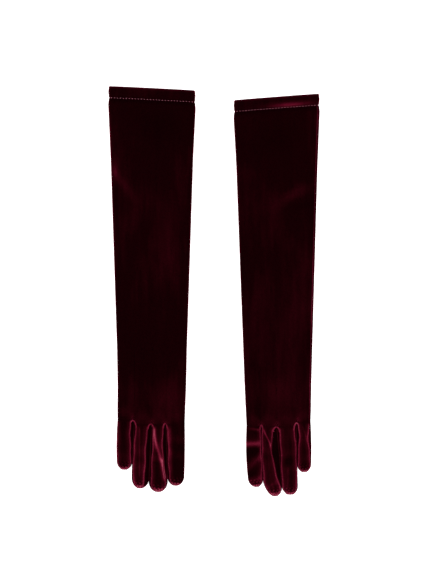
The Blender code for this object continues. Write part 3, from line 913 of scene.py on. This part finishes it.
def finger_back(glove, finger, share, v, wide, tall):
    """(points, painted light) across a finger's back at v."""
    root, tip = glove.fingers[finger][4:]
    along = (root - v) / (root - tip)
    centre, half = finger_place(glove, finger, v)
    middle, high = finger_level(tall)
    crown = CROWN * math.sin(math.pi * min(1.0, along) ** 0.8)
    height, painted_light = finger_relief(glove, finger, share, along)
    more_height, more_light = finger_creases(glove, finger, share, v)
    settle = ease(v, root, root - 8) * tall
    seamed = ease(v, root + 0.5, root - 5)
    height = height * tall * seamed + more_height * settle
    points = glove.at(centre + half * wide * share, v,
                      middle + (high + crown * tall + height) * finger_bow(share))
    # Painted sheen round the tip's rim and along the edges, and uneven painted highlights near the
    # tip.
    close, rim = ease(v, tip + 15.0, tip + 5.0), ease(tall, 0.97, 0.70) * (tall < 1)
    tip_sheen = 0.05 + 0.20 * tip_sheen_pattern(finger, share, v)
    painted_light = painted_light * seamed + more_light * settle + close * tip_sheen
    return points, painted_light + TIP_RIM_SHEEN * np.maximum(rim, edge_light(glove, finger, share, v))


print("half height of a finger, mm:", finger_level(1.0)[1])

# %% Finger skins
def build_finger(glove, finger):
    share = np.cos(np.linspace(0.0, math.pi, FINGER_COLUMNS))
    root = glove.fingers[finger][4]
    grid, painted_light = [], []
    for v, wide, tall in finger_rows(glove, finger):
        upper, light_value = finger_back(glove, finger, share, v, wide, tall)
        centre, half = finger_place(glove, finger, v)
        middle, high = finger_level(tall)
        lower = glove.at(centre + half * wide * share, v, middle - high * finger_bow(share))
        grid.append(np.concatenate([upper, lower[-2:0:-1]]))
        # Beyond the root a finger gets a little more painted light.
        light_value = PILE_FLAT + 0.03 * ease(v, root, root - 20) + light_value
        painted_light.append(np.concatenate([light_value, light_value[-2:0:-1]]))
    skin = grid_mesh(f"{glove.name}_{finger}_skin", np.array(grid), VELVET, np.array(painted_light))
    return thicken(skin, SKIN)


print("points round a finger:", 2 * FINGER_COLUMNS - 2)


# %% [markdown]
# ## The thumb
# The thumb stall hangs from a hole low in the palm, and here it is folded flat under the
# hand, so it shows only from below or when it is swung out. It is one narrow tube, made in
# its own direction and then placed on the plan.

# %% Thumb skins
THUMB_BASE, THUMB_TIP = (26.0, 75.0), (21.0, 14.0)
THUMB_HALF = (11.0, 10.2)
THUMB_HEIGHT = 3.4
THUMB_ROUND, THUMB_POWER = 11.0, 4  # length of the rounded tip, and how long it stays high
THUMB_COLUMNS = 40
THUMB_SKIN = 0.7


def build_thumb(glove):
    base, tip = np.array(THUMB_BASE), np.array(THUMB_TIP)
    length = float(np.hypot(*(tip - base)))
    along = (tip - base) / length
    across = np.array([-along[1], along[0]])
    share = np.cos(np.linspace(0.0, math.pi, THUMB_COLUMNS))
    bow = finger_bow(share)
    rows = [(s, 1.0, 1.0) for s in np.linspace(0.0, length - THUMB_ROUND, 40)]
    for s, wide, tall in tip_steps(THUMB_POWER):
        rows.append((length - THUMB_ROUND * (1 - s), wide, tall))
    grid, painted_light = [], []
    for s, wide, tall in rows:
        half = (THUMB_HALF[0] + (THUMB_HALF[1] - THUMB_HALF[0]) * s / length) * wide
        u = base[0] + along[0] * s + across[0] * half * share
        v = base[1] + along[1] * s + across[1] * half * share
        middle = THUMB_HEIGHT / 2
        ripple = 0.25 * np.sin(s / 4.0 + 2.0 * share)
        upper = glove.at(u, v, middle + middle * tall * bow)
        lower = glove.at(u, v, middle - (middle - 0.3 + 0.5 * ripple) * tall * bow)
        grid.append(np.concatenate([upper, lower[-2:0:-1]]))
        # A painted highlight along the thumb's seam and round its tip.
        light_value = PILE_FLAT + 0.3 * hump(share, -0.82, 0.07) + 0.3 * ease(s, length - 5, length)
        painted_light.append(np.concatenate([light_value, light_value[-2:0:-1]]))
    skin = grid_mesh(f"{glove.name}_thumb_skin", np.array(grid), VELVET, np.array(painted_light))
    return thicken(skin, THUMB_SKIN)


print("thumb, mm:", THUMB_BASE, "to", THUMB_TIP)


# %% [markdown]
# ## Rolled seams
# A seam in velvet shows as a thin roll, brighter than the cloth because its pile is bent
# over and catches the light; that brightness is a painted highlight here. Each one is a path
# drawn on the surface, which Geometry Nodes turns into a small tube. The tree takes a path,
# a radius and a number of sides. A bevel on the curve would look the same, but one tree
# serves every seam and shows its sizes as named inputs.

# %% Tree helpers
def new_tree(name, inputs):
    """An empty Geometry Nodes tree with named inputs. Returns the tree and its end nodes."""
    tree = bpy.data.node_groups.new(name, "GeometryNodeTree")
    tree.interface.new_socket("Geometry", in_out="INPUT", socket_type="NodeSocketGeometry")
    for label, kind, value in inputs:
        socket = tree.interface.new_socket(label, in_out="INPUT", socket_type=kind)
        if value is not None:
            socket.default_value = value
    tree.interface.new_socket("Geometry", in_out="OUTPUT", socket_type="NodeSocketGeometry")
    start, end = tree.nodes.new("NodeGroupInput"), tree.nodes.new("NodeGroupOutput")
    return tree, start, end


def finish_tree(tree, end, geometry, mat_socket):
    """Every tree ends by realising its copies and setting their material."""
    realize = tree.nodes.new("GeometryNodeRealizeInstances")
    paint = tree.nodes.new("GeometryNodeSetMaterial")
    tree.links.new(geometry, realize.inputs[0])
    tree.links.new(realize.outputs[0], paint.inputs["Geometry"])
    tree.links.new(mat_socket, paint.inputs["Material"])
    tree.links.new(paint.outputs["Geometry"], end.inputs[0])


print("a tree starts from", new_tree.__name__, "and ends in", finish_tree.__name__)

# %% The seam tree
seam_tree, start, end = new_tree("rolled_seam", [
    ("Radius", "NodeSocketFloat", 0.0005), ("Sides", "NodeSocketInt", 8),
    ("Material", "NodeSocketMaterial", None)])
circle = seam_tree.nodes.new("GeometryNodeCurvePrimitiveCircle")
tube = seam_tree.nodes.new("GeometryNodeCurveToMesh")
tube.inputs["Fill Caps"].default_value = True
seam_tree.links.new(start.outputs["Sides"], circle.inputs["Resolution"])
seam_tree.links.new(start.outputs["Radius"], circle.inputs["Radius"])
seam_tree.links.new(start.outputs["Geometry"], tube.inputs["Curve"])
seam_tree.links.new(circle.outputs["Curve"], tube.inputs["Profile Curve"])
finish_tree(seam_tree, end, tube.outputs["Mesh"], start.outputs["Material"])
print("seam tree nodes:", len(seam_tree.nodes))

# %% From a path to a piece
def path_object(name, points, cyclic=False):
    """A poly curve through points in mm."""
    curve = bpy.data.curves.new(name, "CURVE")
    curve.dimensions = "3D"
    spline = curve.splines.new("POLY")
    spline.points.add(len(points) - 1)
    spline.points.foreach_set("co", np.column_stack([points * MM, np.ones(len(points))]).ravel())
    spline.use_cyclic_u = cyclic
    obj = bpy.data.objects.new(name, curve)
    bpy.context.scene.collection.objects.link(obj)
    return obj


def grow(name, points, tree, values, mat, cyclic=False):
    """Runs a tree on a path and keeps the result as a plain mesh."""
    obj = path_object(name + "_path", np.asarray(points), cyclic)
    modifier = obj.modifiers.new(tree.name, "NODES")
    modifier.node_group = tree
    sockets = {s.name: s.identifier for s in tree.interface.items_tree if s.in_out == "INPUT"}
    for label, value in {**values, "Material": mat}.items():
        modifier[sockets[label]] = value
    return plain_mesh(obj, name, mat)


SEAM_SIDES = 8


def roll(name, points, radius, painted_light):
    """A rolled seam along a path, with one level of painted highlight all over."""
    values = {"Radius": radius * MM, "Sides": SEAM_SIDES}
    piece = grow(name, points, seam_tree, values, SEAM_VELVET)
    # The seam's painted highlight, the same at every point.
    light_value = piece.data.attributes.new("painted_light", "FLOAT", "POINT")
    light_value.data.foreach_set("value", np.full(len(piece.data.vertices), painted_light, np.float32))
    return piece


print("a seam has", SEAM_SIDES, "sides")


# %% [markdown]
# ### Where the seams run
# Finger seams follow the ridges that the skins already have. At each crotch the two seams
# meet in a loop, half an ellipse laid on the cloth. The long outer seam follows one column
# of the hand's grid and the same share of the sleeve's width.

# %% Seam paths
CROTCH_RISE = 6.4
# How far below the finger roots each crotch loop ends, from the index finger's side on.
CROTCH_DROP = {"right": (5.6, 6.2, 4.8), "left": (4.8, 7.4, 5.4)}
SEAM_START = 4  # finger seams leave out this many rings under the loops
SEAM_END = 0.35  # and stop where the rounded tip is this low
NEAREST = 6  # points of the cloth that give a loop its height
OUTER_SEAM = {"right": -0.93, "left": -0.78}


def finger_seam_path(glove, finger, which):
    root, tip = glove.fingers[finger][4:]
    points = []
    for v, wide, tall in finger_rows(glove, finger):
        along = (root - v) / (root - tip)
        share = np.array([seam_share(glove, finger, which, along)])
        if tall < SEAM_END:
            break
        points.append(finger_back(glove, finger, share, v, wide, tall)[0][0])
    return np.array(points)[SEAM_START:]


def cloth_height(cloth, point):
    """A mean height of the points of the cloth nearest to this one."""
    away = np.hypot(*(cloth[:, :2] - point[:2]).T)
    near = np.argsort(away)[:NEAREST]
    weight = 1 / (away[near] + 0.2)
    return (cloth[near, 2] * weight).sum() / weight.sum()


def crotch_loop(glove, back, first):
    """A loop of seam round the crotch between finger number first and the next one."""
    one, other = (glove.fingers[FINGERS[i]] for i in (first, first + 1))
    start = one[0] + one[2] * seam_share(glove, FINGERS[first], 1, 0.0)
    end = other[0] + other[2] * seam_share(glove, FINGERS[first + 1], 0, 0.0)
    t = np.linspace(0.0, 1.0, 33)
    turn = np.pi * t
    u = (start + end) / 2 + (start - end) / 2 * np.cos(turn)
    v = one[4] + (other[4] - one[4]) * t - CROTCH_DROP[glove.name][first]
    v = v + CROTCH_RISE * np.sin(turn)
    points = glove.at(u, v, 0.0)
    for point in points:
        point[2] = cloth_height(back.reshape(-1, 3), point) + 0.1
    for _ in range(4):  # smooths the loop
        points[1:-1] = (points[:-2] + 2 * points[1:-1] + points[2:]) / 4
    return points


def outer_seam_paths(glove, back, wide):
    """The long seam: its sleeve part and its hand part."""
    shares = np.cos(np.linspace(0.0, math.pi, FINGER_COLUMNS))
    column = 3 * FINGER_COLUMNS + int(np.argmin(np.abs(shares - OUTER_SEAM[glove.name])))
    hand = back[:, column]
    places = np.linspace(SLEEVE_START, CUFF - HEM_DEPTH - 1.5, 130)
    share = np.array([wide[column]])
    sleeve = [sleeve_section(glove, v, 0.0, share, np.ones(1))[0] for v in places]
    return np.array(sleeve), hand


print("a finger seam has", len(finger_seam_path(gloves[0], "ring", 0)), "points")


# %% [markdown]
# ## Hem stitches
# One line of straight stitches in pale pink thread holds the hem. A tree spaces short
# rounded dashes along the line, each a little longer or shorter than the last. The line
# lies in the groove that the thread has pulled, so the dashes sink into the pile. Copying
# one small dash keeps the mesh light.

# %% The stitch tree
SHORTEST, LONGEST = 0.82, 1.12  # of the mean stitch

stitch_tree, start, end = new_tree("straight_stitches", [
    ("Pitch", "NodeSocketFloat", 0.0038), ("Length", "NodeSocketFloat", 0.0026),
    ("Thickness", "NodeSocketFloat", 0.0004), ("Seed", "NodeSocketInt", 7),
    ("Material", "NodeSocketMaterial", None)])
spaced = stitch_tree.nodes.new("GeometryNodeCurveToPoints")
spaced.mode = "LENGTH"
dash = stitch_tree.nodes.new("GeometryNodeMeshUVSphere")
dash.inputs["Segments"].default_value = 8
dash.inputs["Rings"].default_value = 5
dash.inputs["Radius"].default_value = 1.0
size = stitch_tree.nodes.new("ShaderNodeCombineXYZ")
half_length = stitch_tree.nodes.new("ShaderNodeMath")
half_length.operation = "MULTIPLY"
half_length.inputs[1].default_value = 0.5
uneven = stitch_tree.nodes.new("FunctionNodeRandomValue")
uneven.inputs[2].default_value = SHORTEST
uneven.inputs[3].default_value = LONGEST
grown = stitch_tree.nodes.new("ShaderNodeMath")
grown.operation = "MULTIPLY"
copies = stitch_tree.nodes.new("GeometryNodeInstanceOnPoints")
for source, target in (
    (start.outputs["Geometry"], spaced.inputs["Curve"]),
    (start.outputs["Pitch"], spaced.inputs["Length"]),
    (start.outputs["Length"], half_length.inputs[0]),
    (start.outputs["Seed"], uneven.inputs["Seed"]),
    (half_length.outputs[0], grown.inputs[0]),
    (uneven.outputs[1], grown.inputs[1]),
    (start.outputs["Thickness"], size.inputs[0]),
    (start.outputs["Thickness"], size.inputs[1]),
    (grown.outputs[0], size.inputs[2]),
    (spaced.outputs["Points"], copies.inputs["Points"]),
    (spaced.outputs["Rotation"], copies.inputs["Rotation"]),
    (dash.outputs["Mesh"], copies.inputs["Instance"]),
    (size.outputs[0], copies.inputs["Scale"]),
):
    stitch_tree.links.new(source, target)
finish_tree(stitch_tree, end, copies.outputs["Instances"], start.outputs["Material"])
print("stitch tree nodes:", len(stitch_tree.nodes))

# %% Hem stitches
STITCH = {"Pitch": 3.9 * MM, "Length": 1.7 * MM, "Thickness": 0.40 * MM, "Seed": 7}


def hem_stitches(glove):
    """Stitches all the way round the cuff."""
    share, back = round_the_sleeve(60)
    points = sleeve_section(glove, HEM, GROOVE, share, back)
    return grow(f"{glove.name}_hem_stitches", points, stitch_tree, STITCH, THREAD, cyclic=True)


print("stitch pitch, mm:", round(STITCH["Pitch"] / MM, 1))


# %% [markdown]
# ## Riding on the bodies
# Loops, thumbs and stitches each ride on one body. A piece that crosses a fold, at the
# elbow, the wrist or a finger root, is not blended from one body to the next: its
# placement is only baked into its mesh.

# %% Riding and baking
ELBOW_BEND, WRIST_BEND, KNUCKLE_BEND = 16.0, -14.0, -13.0
ROOT_CREASE = 0.4  # the finger folds lie this far above the finger roots


def dress(piece, body, slot, *nodes):
    """The calls that every finished piece gets."""
    if nodes:
        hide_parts(*nodes)
    if body:
        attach(piece, body)
    return piece


def fold_blend(piece, glove, v, over):
    """Bakes the piece's placement into its mesh. The fold's two ends are found but not used."""
    start, end = (glove.at(0.0, w, 0.0) * MM for w in (v, v + over))
    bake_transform(piece)


def elbow(piece, glove):
    fold_blend(piece, glove, ELBOW, ELBOW_BEND)


def wrist(piece, glove):
    fold_blend(piece, glove, WRIST, WRIST_BEND)


def knuckle(piece, glove, finger):
    fold_blend(piece, glove, glove.fingers[finger][4] + ROOT_CREASE, KNUCKLE_BEND)


print("folds are blended over, mm:", [abs(c) for c in (ELBOW_BEND, WRIST_BEND, KNUCKLE_BEND)])

# %% [markdown]
# ## Cut sizes
# Every cloth tube began as a flat cut. Its size is the distance round the tube times its
# length, measured on the plan.

# %% Distance round the cloth
HEIGHT_ROUND = 0.8  # how much of a flat tube's height counts in the distance round it


def sleeve_girths(glove, start, end):
    """Round the sleeve or hand: two flat widths and a little for the height."""
    places = np.linspace(start, end, 40)
    return [4.0 * glove.half_width(v) + HEIGHT_ROUND * glove.height(v) for v in places]


def stall_girths(shape_at, height, start, end):
    """Round a finger or thumb, whose tip is rounded off."""
    places = np.linspace(start, end, 40)
    halves = np.array([shape_at(v) for v in places])
    into_tip = ((places - end + halves[-1]) / halves[-1]).clip(0.0, 1.0)
    return (4.0 * halves + HEIGHT_ROUND * height) * np.sqrt(1.0 - into_tip ** 2)


print("round a cuff, mm:", round(float(sleeve_girths(gloves[0], SLEEVE_START, CUFF)[-1])))

# %% [markdown]
# ## Putting the gloves together
# Each glove is made once, from the sleeve down to the fingertips. Every piece says which
# CAD nodes it stands for, so the plain solids are hidden and the cloth shows instead.

# %% Sleeve and hand
# Each kind of rolled seam: its radius, and its pile, the painted highlight it carries.
ROLLS = {"long": (0.40, 0.62), "crotch": (0.9, 0.80), "finger": (0.52, 0.76)}  # radius, pile


def add_sleeve_and_hand(glove):
    """The sleeve, the hand, the long seam down both and the loops at the crotches."""
    name = glove.name
    sleeve = dress(build_sleeve(glove), None, "velvet", f"{name}_forearm_sleeve",
                   f"{name}_upper_sleeve", f"{name}_hem_facing")
    elbow(sleeve, glove)
    sleeve_girths(glove, SLEEVE_START, CUFF)
    hand, back, wide = build_hand(glove)
    wrist(dress(hand, None, "velvet", f"{name}_hand"), glove)
    sleeve_girths(glove, 0.0, SLEEVE_START)
    up_sleeve, down_hand = outer_seam_paths(glove, back, wide)
    seam = roll(f"{name}_sleeve_seam", up_sleeve, *ROLLS["long"])
    elbow(dress(seam, None, "velvet_inner", f"{name}_forearm_seam", f"{name}_upper_seam"), glove)
    seam = roll(f"{name}_hand_outer_seam", down_hand, *ROLLS["long"])
    wrist(dress(seam, None, "velvet_inner", f"{name}_hand_seam"), glove)
    for first in range(3):
        loop = roll(f"{name}_crotch_{first + 1}", crotch_loop(glove, back, first), *ROLLS["crotch"])
        dress(loop, f"{name}_hand", "velvet_inner")
    return sleeve, hand


print("radius of a long seam, mm:", ROLLS["long"][0])

# %% Fingers and thumb
def add_finger(glove, finger):
    """A finger's skin and the rolled seams along it."""
    name = glove.name
    skin = build_finger(glove, finger)
    knuckle(dress(skin, None, "velvet", *finger_nodes(name, finger)), glove, finger)
    root, tip = glove.fingers[finger][4:]
    girths = stall_girths(lambda s: finger_place(glove, finger, root - s)[1], FINGER_HEIGHT,
                          0.0, root - tip)
    for which, label in ((0, "inner"), (1, "outer")):
        if FINGER_SEAMS[name][finger][which] is None:
            continue
        path = finger_seam_path(glove, finger, which)
        seam = roll(f"{name}_{finger}_{label}_seam", path, *ROLLS["finger"])
        knuckle(dress(seam, None, "velvet_inner"), glove, finger)


def add_thumb(glove):
    """The thumb under the palm. Its own seam is only a painted highlight on the skin."""
    name = glove.name
    thumb = build_thumb(glove)
    dress(thumb, f"{name}_thumb", "velvet", f"{name}_thumb_stall", f"{name}_thumb_seam")
    long = THUMB_BASE[1] - THUMB_TIP[1]
    stall_girths(lambda s: THUMB_HALF[0], THUMB_HEIGHT, 0.0, long)


print("radius of a finger seam, mm:", ROLLS["finger"][0])

# %% Build both gloves
for glove in gloves:
    sleeve, hand = add_sleeve_and_hand(glove)
    for finger in FINGERS:
        add_finger(glove, finger)
    add_thumb(glove)
    stitches = hem_stitches(glove)
    dress(stitches, f"{glove.name}_upper", "pale_thread", f"{glove.name}_hem_stitching")
    print(glove.name, "sleeve", len(sleeve.data.polygons), "hand", len(hand.data.polygons),
          "stitch faces", len(stitches.data.polygons))
